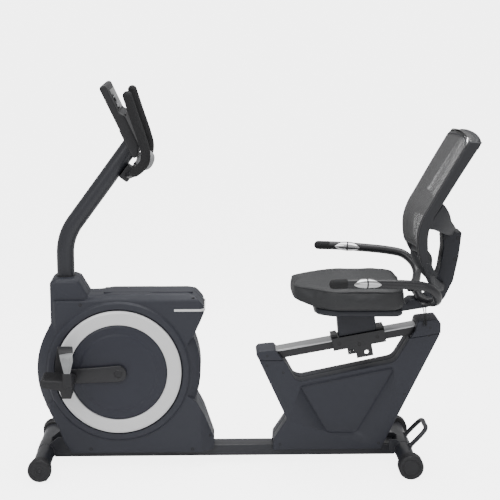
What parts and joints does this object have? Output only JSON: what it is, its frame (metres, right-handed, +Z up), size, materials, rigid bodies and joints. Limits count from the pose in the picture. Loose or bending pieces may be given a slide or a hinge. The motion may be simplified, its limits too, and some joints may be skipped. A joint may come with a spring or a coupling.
{
  "type": "exercise bike",
  "caption": "Recumbent exercise bike with a shrouded magnetic flywheel drive, pedals with straps, a leaning console mast and a seat with a mesh back that slides on a sloping rail.",
  "frame": {"origin": "on the floor, midway between the front and rear ends and on the centre plane", "axes": "+X to the rear, from the pedals towards the backrest; +Y to the rider's right; +Z up"},
  "size_m": [1.549, 0.7206, 1.3238],
  "materials": {
    "frame_paint": "satin dark grey powder coat",
    "black_paint": "satin black powder coat",
    "seat_paint": "satin charcoal powder coat",
    "cover_plastic": "fine-grained charcoal plastic",
    "black_plastic": "fine-grained black plastic",
    "disc_plastic": "satin black plastic",
    "ring_silver": "silver metallised plastic",
    "drive_alloy": "turned",
    "flywheel_iron": "machined rim, raw web",
    "bracket_steel": "zinc plated",
    "belt_rubber": "ribbed",
    "strap_plastic": "smoky flexible plastic",
    "light_strip": "white",
    "screen": "dark window over a display",
    "key_plastic": "soft-touch grey",
    "grip_foam": "closed-cell foam sleeve",
    "cover_grey": "light grey plastic",
    "track_alloy": "brushed",
    "cushion": "dark grey leatherette",
    "back_plastic": "glass-filled black plastic",
    "mesh_fabric": "open-weave mesh",
    "sensor_metal": "polished",
    "wire_rubber": "smooth black jacket"
  },
  "bodies": {
    "frame": {"main_beam": "frame_paint", "front_stabiliser": "frame_paint", "rear_stabiliser": "frame_paint", "rear_lift_handle": "frame_paint", "console_mast": "frame_paint", "drive_frame": "black_paint", "front_handlebar": "black_paint", "rear_frame": "black_paint", "left_shroud": "cover_plastic", "right_shroud": "cover_plastic", "shroud_top_cover": "cover_plastic", "left_rear_cover": "cover_plastic", "right_rear_cover": "cover_plastic", "front_rail_cap": "cover_plastic", "rear_rail_cap": "cover_plastic", "left_front_cap": "black_plastic", "right_front_cap": "black_plastic", "resistance_servo": "black_plastic", "console_body": "black_plastic", "drive_belt": "belt_rubber", "shroud_light_strip": "light_strip", "console_screen": "screen", "left_front_grip": "grip_foam", "right_front_grip": "grip_foam", "handlebar_cover": "cover_grey", "rail_track": "track_alloy", "front_sensor_wire": "wire_rubber", "rear_sensor_wire": "wire_rubber"},
    "crank": {"crank_axle_pulley": "drive_alloy", "left_crank_disc": "disc_plastic", "right_crank_disc": "disc_plastic", "left_disc_ring": "ring_silver", "right_disc_ring": "ring_silver", "left_crank_arm": "black_paint", "right_crank_arm": "black_paint"},
    "left_pedal": {"left_pedal": "black_plastic", "left_pedal_strap": "strap_plastic"},
    "right_pedal": {"right_pedal": "black_plastic", "right_pedal_strap": "strap_plastic"},
    "flywheel": {"flywheel": "flywheel_iron"},
    "magnet_bracket": {"magnet_bracket": "bracket_steel"},
    "left_transport_wheel": {"left_transport_wheel": "black_plastic"},
    "right_transport_wheel": {"right_transport_wheel": "black_plastic"},
    "left_rear_cap": {"left_rear_cap": "black_plastic"},
    "right_rear_cap": {"right_rear_cap": "black_plastic"},
    "seat": {"seat_carriage": "black_paint", "seat_frame": "seat_paint", "seat_cushion": "cushion", "side_handlebar": "black_paint", "left_side_grip": "grip_foam", "right_side_grip": "grip_foam", "left_pulse_sensor": "sensor_metal", "right_pulse_sensor": "sensor_metal", "backrest_frame": "back_plastic", "backrest_mesh": "mesh_fabric"},
    "seat_lock_lever": {"seat_lock_lever": "black_plastic"},
    "key_down": {"key_down": "key_plastic"},
    "key_mode": {"key_mode": "key_plastic"},
    "key_up": {"key_up": "key_plastic"}
  },
  "joints": [
    {"name": "crank_spin", "type": "hinge", "parent": "frame", "child": "crank", "pos_m": [-0.4715, 0, 0.347], "axis": [0, 1, 0], "continuous": true},
    {"name": "left_pedal_spin", "type": "hinge", "parent": "crank", "child": "left_pedal", "pos_m": [-0.63627, 0, 0.33837], "axis": [0, 1, 0], "continuous": true},
    {"name": "right_pedal_spin", "type": "hinge", "parent": "crank", "child": "right_pedal", "pos_m": [-0.30673, 0, 0.35563], "axis": [0, 1, 0], "continuous": true},
    {"name": "flywheel_spin", "type": "hinge", "parent": "frame", "child": "flywheel", "pos_m": [-0.33, 0, 0.235], "axis": [0, 1, 0], "continuous": true},
    {"name": "magnet_swing", "type": "hinge", "parent": "frame", "child": "magnet_bracket", "pos_m": [-0.2647, 0, 0.30262], "axis": [0, 1, 0], "range_deg": [-3, 4]},
    {"name": "left_wheel_spin", "type": "hinge", "parent": "frame", "child": "left_transport_wheel", "pos_m": [-0.734, 0, 0.043], "axis": [0, 1, 0], "continuous": true},
    {"name": "right_wheel_spin", "type": "hinge", "parent": "frame", "child": "right_transport_wheel", "pos_m": [-0.734, 0, 0.043], "axis": [0, 1, 0], "continuous": true},
    {"name": "left_levelling_turn", "type": "hinge", "parent": "frame", "child": "left_rear_cap", "pos_m": [0.521, 0, 0.043], "axis": [0, 1, 0], "range_deg": [-90, 90]},
    {"name": "right_levelling_turn", "type": "hinge", "parent": "frame", "child": "right_rear_cap", "pos_m": [0.521, 0, 0.043], "axis": [0, 1, 0], "range_deg": [-90, 90]},
    {"name": "seat_slide", "type": "slide", "parent": "frame", "child": "seat", "axis": [0.9839, 0, 0.1788], "range_m": [-0.17, 0.08], "deforming": ["front_sensor_wire", "rear_sensor_wire"]},
    {"name": "lock_lever_lift", "type": "hinge", "parent": "seat", "child": "seat_lock_lever", "pos_m": [0.33463, 0, 0.40322], "axis": [0, -1, 0], "range_deg": [0, 30], "stiffness_Nm_per_rad": 0.5, "springref_deg": -20.05},
    {"name": "key_down_press", "type": "slide", "parent": "frame", "child": "key_down", "axis": [-0.9085, 0, -0.4179], "range_m": [0, 0.0015], "stiffness_N_per_m": 300, "springref_m": -0.002},
    {"name": "key_mode_press", "type": "slide", "parent": "frame", "child": "key_mode", "axis": [-0.9085, 0, -0.4179], "range_m": [0, 0.0015], "stiffness_N_per_m": 300, "springref_m": -0.002},
    {"name": "key_up_press", "type": "slide", "parent": "frame", "child": "key_up", "axis": [-0.9085, 0, -0.4179], "range_m": [0, 0.0015], "stiffness_N_per_m": 300, "springref_m": -0.002}
  ],
  "couplings": [
    {"joint": "flywheel_spin", "follows": "crank_spin", "ratio": 4.7727}
  ]
}
